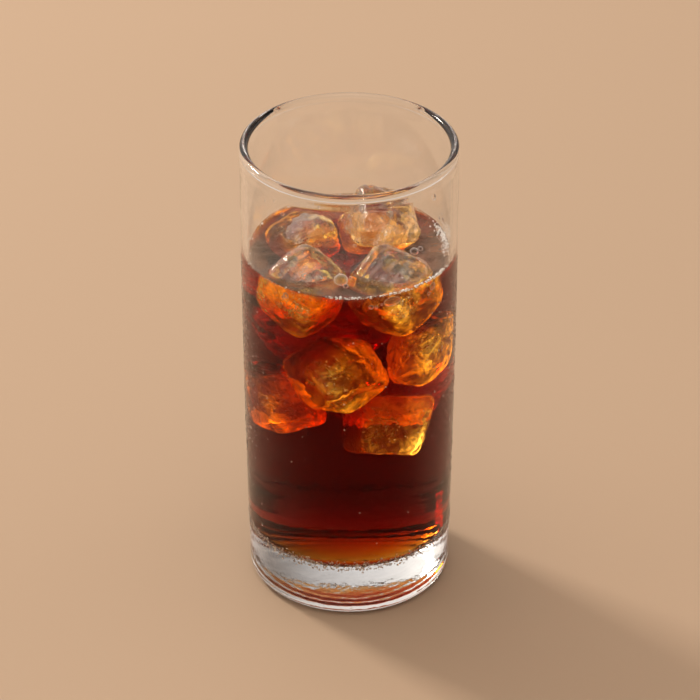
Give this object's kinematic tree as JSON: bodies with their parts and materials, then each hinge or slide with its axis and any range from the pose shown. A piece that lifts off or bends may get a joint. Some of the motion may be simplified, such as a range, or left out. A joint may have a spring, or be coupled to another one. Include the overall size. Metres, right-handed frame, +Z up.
{
  "type": "iced americano",
  "caption": "Tall straight clear glass with a thick base, filled with black iced coffee and melting ice cubes.",
  "frame": {"origin": "middle of the flat ring that the glass stands on, at the level of the table", "axes": "+Z up along the axis of the glass, -Y towards the viewer of the reference view, +X to the viewer's right"},
  "size_m": [0.065, 0.065, 0.15],
  "materials": {
    "glass": "clear polished soda-lime glass, colourless, a little condensation",
    "coffee": "clear black coffee, deep red-brown in depth, amber where thin, with a few bubbles at the surface",
    "ice": "clear wet melting ice, a little cloudy with fine cracks and bubbles"
  },
  "bodies": {
    "root": {"glass": "glass", "drink": "coffee", "ice_back_left": "ice", "ice_back_right": "ice", "ice_front_left": "ice", "ice_front_right": "ice"}
  },
  "joints": []
}
